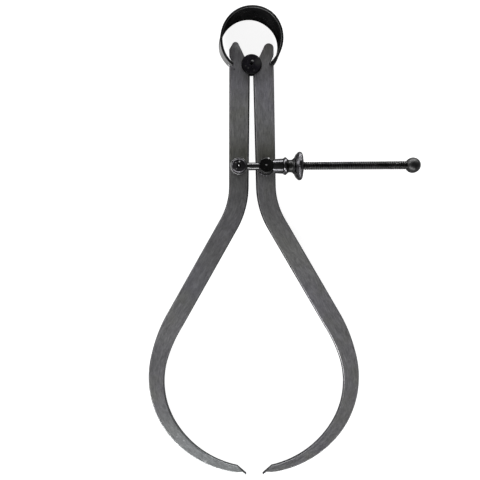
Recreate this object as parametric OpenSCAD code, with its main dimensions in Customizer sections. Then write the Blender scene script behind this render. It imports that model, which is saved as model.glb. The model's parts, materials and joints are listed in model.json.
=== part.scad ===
// Outside caliper of the spring type, lying on its back with its legs almost closed.
// The pivot axis is Z, the legs point along -Y, and the adjusting screw runs along +X.
// Z is 0 at the flat rear face of the fulcrum stud. All sizes are in millimetres.

/* [Legs] */
// Thickness of the flat leg stock
leg_t = 3.2; // [2.4:0.1:4.4]
// Distance from the middle of the caliper to the middle of a leg, level with the fulcrum
leg_x = 5.8; // [5.6:0.05:6.5]
// How far a leg leans outwards above its bend, in degrees
leg_lean = 0.8; // [0.4:0.1:1.5]
// Width of a leg level with the fulcrum
leg_w_top = 10.1; // [9.2:0.1:10.6]
// Width of a leg where it starts to bend outwards
leg_w_bend = 9.6; // [8.6:0.1:10.6]
// Width of a leg where its bow starts
leg_w_slant = 9.6; // [8:0.1:10.6]
// Width of a leg where its upper bow ends
leg_w_bow = 8.1; // [7:0.1:9]
// Width of a leg where its lower bow starts
leg_w_low = 6; // [5:0.1:7]
// Width of a leg behind its measuring tip
leg_w_tip = 3.1; // [2.4:0.1:4]
// Width of the bevel along a leg's edges
leg_bevel = 0.4; // [0.2:0.05:0.6]
// Thickness of a leg at its measuring tip
leg_t_tip = 2.2; // [1.6:0.1:2.4]

/* [Run of a leg] */
// Length of the straight part, from the fulcrum to the bend
shank_l = 59; // [56:1:66]
// Radius of the bend, on the middle of the leg
bend_r = 38.5; // [25:0.5:50]
// Angle of the slanting part from the straight one's axis, in degrees
slant_angle = 29.8; // [26:0.2:33]
// Length of the slanting part
slant_l = 55.2; // [48:0.2:62]
// Radius of the upper bow
bow_upper_r = 72; // [60:1:80]
// Turn of the upper bow, in degrees
bow_upper_turn = 15; // [10:1:20]
// Radius of the middle bow
bow_middle_r = 42; // [38:0.5:46]
// Turn of the middle bow, in degrees
bow_middle_turn = 52; // [46:1:56]
// Radius of the lower bow
bow_lower_r = 48.7; // [44:0.1:53]
// Turn of the lower bow, in degrees
bow_lower_turn = 43; // [38:1:46]

/* [Measuring tips] */
// Distance from the end of the bow to the point of a tip, along the leg
nib_reach = 5; // [4:0.1:6]
// Distance from the middle of the leg out to the point of a tip
nib_drop = 1.6; // [1.2:0.1:2]
// Distance from the end of the bow to where the thin nib starts
nib_root = 3.1; // [2:0.1:3.4]
// Thickness of the nib where it starts
nib_t = 0.45; // [0.35:0.05:0.7]
// Thickness of the nib at its point
nib_end_t = 0.25; // [0.2:0.05:0.3]

/* [Horns] */
// Radius of the round top of the right leg's horn
horn_r = 2.4; // [2.2:0.1:3]
// Height of that round top's centre above the fulcrum
horn_h = 8.3; // [7.6:0.1:9.5]
// Radius of the round top of the left leg's horn
horn_r_left = 1.6; // [1.2:0.1:2]
// Height of that round top's centre above the fulcrum
horn_h_left = 9.9; // [9:0.1:10.4]
// Distance of that centre from the leg's outer edge
horn_in_left = 3.1; // [2.6:0.1:3.4]
// Slope of the left horn's outer edge, in degrees
horn_slope_left = 30; // [20:1:40]
// Lean of the horns' inner edges, in degrees
horn_angle = 25; // [23:1:28]
// Depth of the notch that holds the bow spring, from the leg's outer edge
notch_d = 1.5; // [1.3:0.1:1.9]
// Height of the notch's floor above the fulcrum
notch_y = 1.4; // [1:0.1:1.8]
// Height of the notch's mouth above its floor
notch_h = 3.8; // [3.4:0.1:4.4]
// Fall of the notch's floor towards the leg's outer edge
notch_fall = 0.4; // [0.2:0.1:0.6]
// Width of the slope on the shoulder below the notch
shoulder = 0.5; // [0.3:0.1:0.8]

/* [Bow spring] */
// Outer radius of the bow spring
bow_r = 15.05; // [14.3:0.05:16]
// Thickness of the spring strip
bow_t = 0.95; // [0.7:0.05:1.3]
// Width of the strip round its crown
bow_w_crown = 14.2; // [10:0.2:16]
// Width of the strip at its forked ends
bow_w_end = 6.8; // [6:0.2:9]
// Half of the angle between the strip's two ends, in degrees
bow_gap_angle = 38; // [36:1:39]
// Height above the ring's centre where the strip reaches its full width
bow_full_h = 11.5; // [8:0.5:13]
// Depth of the spring's inner face inside the leg's outer edge, on the notch's floor
bow_seat_d = 0.9; // [0.7:0.05:1.1]
// Clearance of the fork from the leg's faces
fork_gap = 0.12; // [0.05:0.01:0.3]
// Clearance of the bow spring from the notch
notch_gap = 0.2; // [0.1:0.05:0.3]

/* [Fulcrum stud] */
// Diameter of the stud's core, which the legs rock on
stud_d = 6; // [5:0.1:6.6]
// Diameter of the stud's front head
stud_head_d = 10.2; // [9:0.1:11]
// Diameter of the stud's rear head
stud_rear_d = 8; // [7.6:0.1:10]
// Thickness of the rear head
stud_rear_t = 1.6; // [1.2:0.1:2.4]
// Thickness of the front head
stud_front_t = 1.9; // [1.4:0.1:2.6]

/* [Pivots of the screw] */
// Distance of both pivots below the fulcrum
pivot_y = 50; // [48:0.5:54]
// Diameter of the left stud's journal, which the screw's eye turns on
journal_d = 4.4; // [3.8:0.1:4.8]
// Diameter of the tenons where they go through the legs
tenon_d = 3.8; // [3:0.1:3.8]
// Diameter of the left stud's head
head_d = 6.8; // [6.2:0.1:7.6]
// Thickness of the left stud's head
head_t = 1.7; // [1.2:0.1:2.4]
// Diameter of the collar under the screw's eye
collar_d = 7.6; // [6.6:0.1:8.2]
// Diameter of the swivel post
post_d = 7.4; // [6.8:0.1:8]
// Height of the swivel post above the screw's axis
post_above = 3.8; // [3:0.1:5]
// Distance of the post's flat from its centre
post_flat = 3.2; // [3:0.1:3.4]
// Diameter of the ring under the swivel post
ring_d = 8.2; // [7.6:0.1:9]
// Thickness of the ring under the swivel post
ring_t = 0.4; // [0.3:0.05:0.5]
// Diameter of the washers behind the legs
washer_d = 7; // [6:0.1:8]
// Thickness of the washers behind the legs
washer_t = 0.9; // [0.6:0.1:1.2]
// Diameter of the riveted ends
rivet_d = 5.2; // [4.8:0.1:5.8]
// Height of the riveted ends
rivet_t = 0.6; // [0.4:0.1:0.9]

/* [Adjusting screw] */
// Height of the screw's axis above the legs' front face
screw_up = 3.8; // [3.75:0.05:4.4]
// Outer diameter of the screw's thread
thread_d = 3.9; // [3.5:0.1:4.1]
// Diameter of the plain rod between the legs
rod_d = 3.7; // [3:0.1:3.7]
// Outer diameter of the screw's eye
eye_d = 8.2; // [7.6:0.1:9]
// Thickness of the screw's eye
eye_t = 3.8; // [3.7:0.1:4.2]
// Length of the plain rod, from the eye's centre
plain_l = 11; // [10.2:0.1:12]
// Distance from the eye's centre to the ball's centre
screw_l = 83.5; // [80:0.5:95]
// Diameter of the ball on the screw's end
ball_d = 7.4; // [6.6:0.1:8]
// Diameter of the screw's end inside the ball
ball_tenon_d = 3; // [2.4:0.1:3.2]

/* [Adjusting nut and its sleeve] */
// Length of the sleeve between the post and the nut
sleeve_l = 5; // [4.4:0.1:6.5]
// Diameter of the sleeve against the post
sleeve_d_small = 6.6; // [6:0.1:6.6]
// Diameter of the sleeve against the nut
sleeve_d_large = 7.3; // [6.7:0.1:7.3]
// Diameter of the bead on the nut's nose
bead_d = 8.5; // [7.8:0.1:9.2]
// Length of the slope on the front of the bead
bead_slope = 0.7; // [0.4:0.1:0.9]
// Diameter of the nut's waist
waist_d = 5.6; // [5.4:0.1:6.4]
// Radius of the nut's waist, along its length
waist_r = 3; // [2.6:0.1:3.2]
// Diameter of the nut's rim
rim_d = 13.7; // [12:0.1:15]
// Radius of the rim's rounded edge
rim_r = 1.15; // [0.9:0.05:1.4]
// Distance from the nut's nose to the middle of its rim
rim_x = 7.9; // [7.6:0.1:8.6]
// Length of the nut
nut_l = 9.8; // [9.5:0.1:11]
// Diameter of the nut's rear end
nut_end_d = 5.2; // [4.8:0.1:6]

/* [Clearances] */
// Clearance of pieces that turn or slide on each other
run = 0.05; // [0.02:0.01:0.1]
// Clearance of pieces that are fixed to each other
fit = 0.01; // [0.01:0.005:0.03]
// Clearance of the screw's thread in the post, the sleeve and the nut
thread_gap = 0.08; // [0.03:0.01:0.1]

/* [Hidden] */

$fn = 64;
// Angle between two neighbouring points of a round stretch of a leg's edge, in degrees
edge_step = 2;
// Number of points round a horn's top
horn_steps = 30;
// How far a cutting shape passes the face that it cuts
past = 1;

steel = "#5c5f62";
black = "#232325";

// Heights of the faces, from the stud's rear face upwards
leg_z0 = stud_rear_t + run;
leg_z1 = leg_z0 + leg_t;
leg_zm = (leg_z0 + leg_z1) / 2;
screw_z = leg_z1 + screw_up;
eye_z0 = screw_z - eye_t / 2;
eye_z1 = screw_z + eye_t / 2;

// The pivots lie on the middle line of each leg
pivot_x = leg_x + pivot_y * tan(leg_lean);

// Direction along a leg, and across it to its outer edge, at a heading from -Y
function along(h) = [sin(h), -cos(h)];
function across(h) = [cos(h), sin(h)];
function last(v) = v[len(v) - 1];

// A station of a leg is [point, heading, width]. Each function adds stations to a list.
function add_line(v, l, w) = let (s = last(v)) concat(v, [[s[0] + l * along(s[1]), s[1], w]]);
function add_arc(v, r, turn, w) =
    let (s = last(v), side = sign(turn), c = s[0] + side * r * across(s[1]), n = ceil(abs(turn) / edge_step))
    concat(v, [for (i = [1:n]) let (h = s[1] + turn * i / n)
        [c - side * r * across(h), h, s[2] + (w - s[2]) * i / n]]);

// The right leg's stations from the fulcrum to the end of its bow
straight_run = add_line([[[leg_x, 0], leg_lean, leg_w_top]], shank_l, leg_w_bend);
bent_run = add_arc(straight_run, bend_r, slant_angle - leg_lean, leg_w_bend);
slant_run = add_line(bent_run, slant_l, leg_w_slant);
upper_run = add_arc(slant_run, bow_upper_r, -bow_upper_turn, leg_w_bow);
middle_run = add_arc(upper_run, bow_middle_r, -bow_middle_turn, leg_w_low);
leg_run = add_arc(middle_run, bow_lower_r, -bow_lower_turn, leg_w_tip);

// A point given from a station: a along the leg and b out across it
function from_station(s, a, b) = s[0] + a * along(s[1]) + b * across(s[1]);
tip_station = last(leg_run);
nib_angle = atan((nib_drop + leg_w_tip / 2) / nib_reach);
function nib(a, t) =
    from_station(tip_station, a - t * sin(nib_angle), nib_drop - (nib_reach - a) * tan(nib_angle) + t * cos(nib_angle));

// A horn is [centre of its round top, radius, slope of its outer edge]
leg_outer_x = leg_x + leg_w_top / 2;
right_horn = [[leg_outer_x - horn_r, horn_h], horn_r, edge_step];
left_horn = [[leg_outer_x - horn_in_left, horn_h_left], horn_r_left, horn_slope_left];

// Where a horn's inner edge ends inside the seat, and where its sloping outer edge meets the leg's side
function horn_foot(horn) = let (edge = horn[0] + horn[1] * [-cos(horn_angle), sin(horn_angle)])
    edge - (edge[1] / cos(horn_angle)) * [sin(horn_angle), cos(horn_angle)];
function horn_side(horn) = let (edge = horn[0] + horn[1] * across(horn[2]))
    [leg_outer_x, edge[1] - (leg_outer_x - edge[0]) / tan(horn[2])];

// The bow spring's centre is set by the floor of the notch that its fork stands on
bow_inner_r = bow_r - bow_t;
notch_x = leg_outer_x - notch_d;
bow_end_angle = 90 - bow_gap_angle;
bow_x0 = leg_outer_x - bow_seat_d;
fork_angle = acos(bow_x0 / bow_inner_r);
fork_y = notch_y + notch_gap;
bow_y = fork_y + bow_inner_r * sin(fork_angle);

// Along the screw, from the swivel post's centre
post_x = pivot_x;
sleeve_x0 = post_x + post_flat;
nut_x0 = sleeve_x0 + sleeve_l + run;
ball_x = screw_l - pivot_x;
ball_flat = sqrt(pow(ball_d / 2, 2) - pow(thread_d / 2, 2));

// Revolves a profile of [radius, distance] points about a line along X at the screw's height
module along_screw(x) {
    translate([x, -pivot_y, screw_z]) rotate([0, 90, 0]) rotate_extrude($fn = 96) children();
}

// Places a shape on a leg's pivot
module at_pivot(side) {
    translate([side * pivot_x, -pivot_y, 0]) children();
}

// A washer or collar with its lower face at z
module ring(z, h, outer_d, bore_d) {
    translate([0, 0, z]) difference() {
        cylinder(d = outer_d, h = h);
        translate([0, 0, -past]) cylinder(d = bore_d, h = h + 2 * past);
    }
}

// The right leg's horn, which starts just inside the top of the bevelled run
module horn_outline(horn) {
    start = leg_run[0][0];
    half = leg_run[0][2] / 2 - leg_bevel;
    first = 180 - horn_angle;
    polygon(concat([start - [half, past], start - [half, 0], horn_foot(horn)],
        [for (i = [0:horn_steps]) horn[0] + horn[1] * across(first + (horn[2] - first) * i / horn_steps)],
        [horn_side(horn), [leg_outer_x, 0], start + [half, 0], start + [half, -past]]));
}

// A section across a leg, with its corners bevelled, at the height of the leg's middle
function bevelled(s, t) = let (w = s[2] / 2, h = t / 2, b = leg_bevel)
    [for (q = [[w, b - h], [w, h - b], [w - b, h], [b - w, h], [-w, h - b], [-w, b - h], [b - w, -h], [w - b, -h]])
        let (p = s[0] + q[0] * across(s[1])) [p[0], p[1], leg_zm + q[1]]];

// The thickness falls evenly from the end of the slanting part to the tip
function leg_t_at(i) = let (first = len(slant_run) - 1, n = len(leg_run) - 1)
    i <= first ? leg_t : leg_t + (leg_t_tip - leg_t) * (i - first) / (n - first);

// The bevelled part of the right leg, one section at each of its stations
module leg_bar() {
    n = len(leg_run);
    polyhedron([for (i = [0:n - 1]) each bevelled(leg_run[i], leg_t_at(i))],
        concat([[for (k = [0:7]) k]], [[for (k = [7:-1:0]) (n - 1) * 8 + k]],
            [for (i = [0:n - 2], k = [0:7]) let (a = i * 8, m = (k + 1) % 8) [a + k, a + 8 + k, a + 8 + m, a + m]]));
}

// The thin nib that reaches out from the end of the bow to the measuring point
module leg_nib() {
    end_w = leg_w_tip / 2 - leg_bevel;
    translate([0, 0, leg_zm - leg_t_tip / 2 + leg_bevel]) linear_extrude(leg_t_tip - 2 * leg_bevel)
        polygon([from_station(tip_station, -past / 2, end_w), from_station(tip_station, 0, leg_w_tip / 2),
            nib(nib_root, nib_t), nib(nib_reach, nib_end_t), nib(nib_reach, 0),
            from_station(tip_station, 0, -leg_w_tip / 2), from_station(tip_station, -past / 2, -end_w)]);
}

// The right leg, with its horn, seat, notch and pivot hole
module leg(hole_d, horn) {
    difference() {
        union() {
            leg_bar();
            leg_nib();
            translate([0, 0, leg_z0]) linear_extrude(leg_t) horn_outline(horn);
        }
        translate([0, 0, leg_z0 - past]) cylinder(d = stud_d + 2 * run, h = leg_t + 2 * past);
        translate([pivot_x, -pivot_y, leg_z0 - past]) cylinder(d = hole_d, h = leg_t + 2 * past);
        translate([0, 0, leg_z0 - past]) linear_extrude(leg_t + 2 * past)
            polygon([[notch_x, notch_y], [notch_x + 0.1, notch_y + notch_h / 4], [leg_outer_x, notch_y + notch_h],
                [leg_outer_x + past, notch_y + notch_h], [leg_outer_x + past, notch_y - notch_fall - 3 * shoulder],
                [leg_outer_x - shoulder, notch_y - notch_fall]]);
    }
}

module left_leg() {
    color(steel) mirror([1, 0, 0]) leg(tenon_d + 2 * fit, left_horn);
}

module right_leg() {
    color(steel) leg(tenon_d + 2 * run, right_horn);
}

// A strip bent into an open ring. Seen from the side it is widest round the crown and narrows to the ends.
module bow_spring() {
    top = bow_y + bow_r;
    bottom = bow_y - bow_r * sin(bow_end_angle);
    color(black) difference() {
        intersection() {
            translate([0, bow_y, leg_zm - bow_w_crown]) difference() {
                cylinder(r = bow_r, h = 2 * bow_w_crown, $fn = 128);
                translate([0, 0, -past]) cylinder(r = bow_inner_r, h = 2 * bow_w_crown + 2 * past, $fn = 128);
            }
            translate([-bow_r - past, 0, leg_zm]) rotate([90, 0, 90]) linear_extrude(2 * (bow_r + past))
                polygon([[bottom - past, -bow_w_end / 2], [bow_y + bow_full_h, -bow_w_crown / 2],
                    [top + past, -bow_w_crown / 2], [top + past, bow_w_crown / 2],
                    [bow_y + bow_full_h, bow_w_crown / 2], [bottom - past, bow_w_end / 2]]);
        }
        translate([0, bow_y, leg_zm - bow_w_crown - past]) linear_extrude(2 * (bow_w_crown + past))
            polygon([[0, 0], 2 * bow_r * [cos(bow_end_angle), -sin(bow_end_angle)],
                2 * bow_r * [-cos(bow_end_angle), -sin(bow_end_angle)]]);
        translate([-2 * bow_r, fork_y - 2 * bow_r, leg_z0 - fork_gap])
            cube([4 * bow_r, 2 * bow_r, leg_t + 2 * fork_gap]);
    }
}

// A turned spool: the legs' half-round seats rock on its core, between its two heads
module fulcrum_stud() {
    head_r = stud_head_d / 2;
    rear_r = stud_rear_d / 2;
    top = leg_z1 + run + stud_front_t;
    edge = 0.5;
    centre_r = 0.9;
    color(black) rotate_extrude($fn = 96)
        polygon([[0, 0], [rear_r - edge, 0], [rear_r, edge], [rear_r, stud_rear_t], [stud_d / 2, stud_rear_t],
            [stud_d / 2, leg_z1 + run], [head_r, leg_z1 + run], [head_r, top - edge], [head_r - edge, top],
            [centre_r, top], [0, top - centre_r]]);
}

// A headed stud, riveted behind the left leg, which the screw's eye turns on
module left_pivot_stud() {
    z_head = eye_z1 + run;
    z_rivet = leg_z0 - washer_t;
    edge = 0.35;
    centre_r = 0.5;
    color(black) at_pivot(-1) rotate_extrude()
        polygon([[0, z_rivet - rivet_t], [rivet_d / 2 - rivet_t, z_rivet - rivet_t], [rivet_d / 2, z_rivet],
            [tenon_d / 2, z_rivet], [tenon_d / 2, leg_z1], [journal_d / 2, leg_z1], [journal_d / 2, z_head],
            [head_d / 2, z_head], [head_d / 2, z_head + head_t - edge], [head_d / 2 - edge, z_head + head_t],
            [centre_r, z_head + head_t], [0, z_head + head_t - centre_r]]);
}

module left_collar() {
    color(black) at_pivot(-1) ring(leg_z1, eye_z0 - run - leg_z1, collar_d, journal_d + 2 * fit);
}

module left_washer() {
    color(black) at_pivot(-1) ring(leg_z0 - washer_t, washer_t, washer_d, tenon_d + 2 * fit);
}

// A post that swivels in the right leg. The screw slides through its cross hole, and its flat takes the sleeve.
module swivel_post() {
    z_foot = leg_z1 + ring_t + run;
    z_top = screw_z + post_above;
    z_rivet = leg_z0 - run - washer_t;
    edge = 0.35;
    centre_r = 0.4;
    color(black) difference() {
        at_pivot(1) rotate_extrude()
            polygon([[0, z_rivet - rivet_t], [rivet_d / 2 - rivet_t, z_rivet - rivet_t], [rivet_d / 2, z_rivet],
                [tenon_d / 2, z_rivet], [tenon_d / 2, z_foot], [post_d / 2, z_foot],
                [post_d / 2, z_top - edge], [post_d / 2 - edge, z_top], [centre_r, z_top],
                [0, z_top - centre_r]]);
        translate([0, -pivot_y, screw_z]) rotate([0, 90, 0])
            cylinder(d = thread_d + 2 * thread_gap, h = 2 * post_x + post_d);
        translate([sleeve_x0, -pivot_y - post_d, z_foot - past])
            cube([post_d, 2 * post_d, z_top - z_foot + 2 * past]);
    }
}

module swivel_ring() {
    color(black) at_pivot(1) ring(leg_z1, ring_t, ring_d, tenon_d + 2 * run);
}

module right_washer() {
    color(black) at_pivot(1) ring(leg_z0 - run - washer_t, washer_t, washer_d, tenon_d + 2 * fit);
}

// A rod with an eye at its left end. Its thread starts inside the swivel post.
module adjusting_screw() {
    color(black) difference() {
        union() {
            at_pivot(-1) translate([0, 0, eye_z0]) cylinder(d = eye_d, h = eye_t);
            along_screw(-pivot_x) polygon([[0, 0], [rod_d / 2, 0], [rod_d / 2, plain_l],
                [thread_d / 2, plain_l + (thread_d - rod_d) / 2], [thread_d / 2, screw_l - ball_flat],
                [ball_tenon_d / 2, screw_l - ball_flat], [ball_tenon_d / 2, screw_l], [0, screw_l]]);
        }
        at_pivot(-1) translate([0, 0, eye_z0 - past]) cylinder(d = journal_d + 2 * run, h = eye_t + 2 * past);
    }
}

module ball_end() {
    color(black) along_screw(ball_x) difference() {
        intersection() {
            circle(d = ball_d, $fn = 96);
            translate([0, -ball_flat]) square(ball_d);
        }
        translate([0, -ball_d]) square([ball_tenon_d / 2 + fit, ball_d + fit]);
        translate([-ball_d, -ball_d]) square([ball_d, 2 * ball_d]);
    }
}

module nut_sleeve() {
    color(black) along_screw(sleeve_x0) polygon([[thread_d / 2 + thread_gap, 0], [sleeve_d_small / 2, 0],
        [sleeve_d_large / 2, sleeve_l], [thread_d / 2 + thread_gap, sleeve_l]]);
}

// A turned nut: a bead on its nose, a hollow waist, and a rounded rim for the fingers
module adjusting_nut() {
    bore_r = thread_d / 2 + thread_gap;
    rim_c = [rim_d / 2 - rim_r, rim_x];
    color(black) along_screw(nut_x0) difference() {
        union() {
            polygon([[bore_r, 0], [(bead_d - bead_slope) / 2, 0], [bead_d / 2, bead_slope],
                [bead_d / 2, rim_x - rim_r], rim_c - [0, rim_r], rim_c + [0, rim_r],
                [nut_end_d / 2, nut_l], [bore_r, nut_l]]);
            translate(rim_c) circle(r = rim_r);
        }
        translate([waist_d / 2 + waist_r, rim_x - rim_r - waist_r]) circle(r = waist_r);
    }
}

left_leg();
right_leg();
bow_spring();
fulcrum_stud();
left_pivot_stud();
left_collar();
left_washer();
swivel_post();
swivel_ring();
right_washer();
adjusting_screw();
ball_end();
nut_sleeve();
adjusting_nut();
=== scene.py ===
import json
import math

import bmesh
import bpy
import numpy as np
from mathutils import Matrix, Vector


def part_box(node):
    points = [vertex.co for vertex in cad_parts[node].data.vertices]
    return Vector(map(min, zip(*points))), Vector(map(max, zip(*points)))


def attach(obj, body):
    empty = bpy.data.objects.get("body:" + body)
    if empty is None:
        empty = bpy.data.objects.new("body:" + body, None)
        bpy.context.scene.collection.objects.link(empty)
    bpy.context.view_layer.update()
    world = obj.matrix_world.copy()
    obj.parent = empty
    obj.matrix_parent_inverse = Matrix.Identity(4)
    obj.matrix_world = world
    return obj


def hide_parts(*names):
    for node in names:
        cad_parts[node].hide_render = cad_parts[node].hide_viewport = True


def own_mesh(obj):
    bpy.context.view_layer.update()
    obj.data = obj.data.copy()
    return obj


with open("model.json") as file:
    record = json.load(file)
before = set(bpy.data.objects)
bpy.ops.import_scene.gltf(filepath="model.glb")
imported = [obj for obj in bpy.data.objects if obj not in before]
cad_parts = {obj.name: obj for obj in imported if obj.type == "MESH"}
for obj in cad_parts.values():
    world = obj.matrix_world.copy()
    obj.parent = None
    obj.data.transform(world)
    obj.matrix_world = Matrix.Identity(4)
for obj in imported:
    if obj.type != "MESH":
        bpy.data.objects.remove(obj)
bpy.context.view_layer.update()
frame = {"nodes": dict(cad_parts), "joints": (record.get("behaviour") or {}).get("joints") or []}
mm = 0.001
joints = {joint["name"]: joint for joint in frame["joints"]}
print("frame loaded:", len(frame["nodes"]), "nodes")

# Places that every piece shares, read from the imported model
legBack, legFront = (corner[2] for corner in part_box("right_leg"))
legMiddle = (legBack + legFront) / 2
pivotX, pivotY, screwHeight = joints["post_swivel"]["pos_m"]
leftPivot, rightPivot = (-pivotX, pivotY, 0), (pivotX, pivotY, 0)


# The camera looks straight down on the caliper, with the view's foot in the middle of the picture.
cameraPlan = {
    "lens": 37.5,
    "sensor": 36.0,
    "pictureSize": 480,
    "height": 244 * mm,  # above the legs' front face
    "roll": math.radians(-0.426),
    "fulcrumPixel": (251.5, 65.1),
}


def placeCamera(plan):
    size = plan["pictureSize"]
    perPixel = plan["height"] / (plan["lens"] / plan["sensor"] * size)
    right = (plan["fulcrumPixel"][0] - size / 2) * perPixel
    up = (size / 2 - plan["fulcrumPixel"][1]) * perPixel
    cosine, sine = math.cos(plan["roll"]), math.sin(plan["roll"])
    data = bpy.data.cameras.new("photoCamera")
    data.lens = plan["lens"]
    data.sensor_width = plan["sensor"]
    data.clip_start = 0.01
    data.clip_end = 20
    camera = bpy.data.objects.new("photoCamera", data)
    bpy.context.scene.collection.objects.link(camera)
    camera.location = (sine * up - cosine * right, -sine * right - cosine * up, legFront + plan["height"])
    camera.rotation_euler = (0, 0, plan["roll"])
    bpy.context.scene.camera = camera
    print("camera placed at", tuple(round(value / mm, 2) for value in camera.location), "mm")


placeCamera(cameraPlan)


# 0 up to the start, then evenly up to 1 a span further on. A negative span runs towards lower values.
def riseOver(value, start, span):
    return np.clip((value - start) / span, 0, 1)


# Mesh helpers

def makeMesh(name, points, faces):
    mesh = bpy.data.meshes.new(name)
    mesh.from_pydata(points, [], faces)
    piece = bpy.data.objects.new(name, mesh)
    bpy.context.scene.collection.objects.link(piece)
    return piece


# Merges what meets at a pole, turns every face outwards and shades it smooth.
def tidyMesh(piece, merge=1e-7):
    work = bmesh.new()
    work.from_mesh(piece.data)
    bmesh.ops.remove_doubles(work, verts=work.verts, dist=merge)
    bmesh.ops.dissolve_degenerate(work, edges=work.edges, dist=merge)
    bmesh.ops.recalc_face_normals(work, faces=work.faces)
    if work.calc_volume(signed=True) < 0:
        bmesh.ops.reverse_faces(work, faces=work.faces)
    for face in work.faces:
        face.smooth = True
    work.to_mesh(piece.data)
    work.free()
    piece.data.update()


# Cuts meshes out of a piece and keeps the result as plain mesh data.
def cutAway(piece, *cutters):
    for cutter in cutters:
        tidyMesh(cutter)
        cut = piece.modifiers.new("cut", "BOOLEAN")
        cut.operation = "DIFFERENCE"
        cut.solver = "EXACT"
        cut.object = cutter
    graph = bpy.context.evaluated_depsgraph_get()
    result = bpy.data.meshes.new_from_object(piece.evaluated_get(graph))
    piece.modifiers.clear()
    piece.data = result
    for cutter in cutters:
        bpy.data.objects.remove(cutter)
    tidyMesh(piece)


# A block between two corners, to cut with.
def blockCutter(low, high):
    corners = np.array([[x, y, z] for z in (0, 1) for y in (0, 1) for x in (0, 1)])
    faces = [[0, 2, 3, 1], [4, 5, 7, 6], [0, 1, 5, 4], [2, 6, 7, 3], [0, 4, 6, 2], [1, 3, 7, 5]]
    return makeMesh("cutter", np.array(low) + corners * (np.array(high) - np.array(low)), faces)


# Quads of a grid of rows by columns. Columns always wrap, and rows wrap only on a closed profile.
def gridFaces(rows, columns, wrapRows):
    row = np.arange(rows if wrapRows else rows - 1)
    a, b = np.meshgrid(row, np.arange(columns), indexing="ij")
    nextA, nextB = (a + 1) % rows, (b + 1) % columns
    quads = [a * columns + b, a * columns + nextB, nextA * columns + nextB, nextA * columns + b]
    return np.stack(quads, -1).reshape(-1, 4)


# A section carried from station to station. Each row of the points is one ring, and both ends are closed.
def carriedSection(name, points):
    rows, count = points.shape[:2]
    faces = gridFaces(rows, count, False).tolist()
    faces += [list(range(count)), list(range((rows - 1) * count, rows * count))[::-1]]
    return tidiedMesh(name, points.reshape(-1, 3), faces)


def tidiedMesh(name, points, faces):
    piece = makeMesh(name, points, faces)
    tidyMesh(piece)
    return piece


def meshPoints(piece):
    flat = np.empty(len(piece.data.vertices) * 3)
    piece.data.vertices.foreach_get("co", flat)
    return flat.reshape(-1, 3)


# Rounds each corner of a profile. A corner is (radius, height, fillet), and the fillet's arc touches both
# of the corner's sides.
def roundedProfile(corners, closed, pointsPerArc):
    corner = np.array(corners, float)
    count = len(corner)
    rows = []
    for i in range(count):
        here, fillet = corner[i, :2], corner[i, 2]
        if fillet <= 0 or (not closed and i in (0, count - 1)):
            rows.append(here[None])
            continue
        before = corner[i - 1, :2] - here
        after = corner[(i + 1) % count, :2] - here
        before, after = before / np.linalg.norm(before), after / np.linalg.norm(after)
        half = math.acos(np.clip(before @ after, -1, 1)) / 2
        reach = fillet / math.tan(half)
        middle = here + (before + after) / np.linalg.norm(before + after) * fillet / math.sin(half)
        start, end = here + before * reach - middle, here + after * reach - middle
        t = np.linspace(0, 1, pointsPerArc)[:, None]
        blend = start * (1 - t) + end * t
        rows.append(middle + blend / np.linalg.norm(blend, axis=1)[:, None] * fillet)
    return np.vstack(rows) * mm


# A profile of radius and height turned about an axis: point = centre + radius * (cos, sin) of the angle,
# with the height along the axis. The bump function adds to the radius. A profile that starts away from the
# axis is closed on itself.
def turned(name, corners, centre, axis, steps=96, bump=None, pointsPerArc=6, split=0):
    closed = corners[0][0] > 0
    profile = roundedProfile(corners, closed, pointsPerArc)
    if split:
        profile = dividedProfile(profile, split * mm, closed)
    angle = np.arange(steps) / steps * 2 * math.pi
    radius, height = profile[:, :1] + 0 * angle, profile[:, 1:] + 0 * angle
    if bump is not None:
        radius = radius + bump(radius, height, angle)
    first, second = radius * np.cos(angle), radius * np.sin(angle)
    if axis == "x":
        points = np.stack([height, first, second], -1)
    else:
        points = np.stack([first, second, height], -1)
    points = points.reshape(-1, 3) + np.array(centre)
    return tidiedMesh(name, points, gridFaces(len(profile), steps, closed).tolist())


# Adds points along a profile so that no two are further apart than the step.
def dividedProfile(profile, step, closed):
    ends = np.roll(profile, -1, 0) if closed else profile[1:]
    rows = []
    for start, end in zip(profile, ends):
        count = max(1, math.ceil(np.linalg.norm(end - start) / step))
        rows.append(start + (end - start) * (np.arange(count) / count)[:, None])
    if not closed:
        rows.append(profile[-1:])
    return np.vstack(rows)


# A plain cylinder about a point, to cut with.
def roundCutter(radius, reach, centre, axis, steps=48):
    corners = [(0, -reach, 0), (radius, -reach, 0), (radius, reach, 0), (0, reach, 0)]
    return turned("cutter", corners, centre, axis, steps=steps)


# Shader helpers

# Gives an input another node's output, or a plain value.
def plug(tree, target, value):
    if isinstance(value, bpy.types.NodeSocket):
        tree.links.new(value, target)
    elif target.type == "RGBA":
        target.default_value = (*value, 1)
    else:
        target.default_value = value


# An underscore in an input's name stands for a space.
def setInputs(tree, made, **values):
    for key, value in values.items():
        plug(tree, made.inputs[key.replace("_", " ")], value)


# Makes a node. Each value is one of its settings, or else one of its inputs.
def node(tree, kind, **values):
    made = tree.nodes.new(kind)
    for key, value in values.items():
        if hasattr(made, key):
            setattr(made, key, value)
        else:
            setInputs(tree, made, **{key: value})
    return made


def mathNode(tree, operation, *values, clamp=False):
    made = node(tree, "ShaderNodeMath", operation=operation, use_clamp=clamp)
    for target, value in zip(made.inputs, values):
        plug(tree, target, value)
    return made.outputs[0]


def times(tree, first, second, clamp=False):
    return mathNode(tree, "MULTIPLY", first, second, clamp=clamp)


def vectorNode(tree, operation, first, second):
    made = node(tree, "ShaderNodeVectorMath", operation=operation)
    plug(tree, made.inputs[0], first)
    plug(tree, made.inputs[1], second)
    return made.outputs["Value" if operation in ("DISTANCE", "DOT_PRODUCT") else "Vector"]


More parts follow.
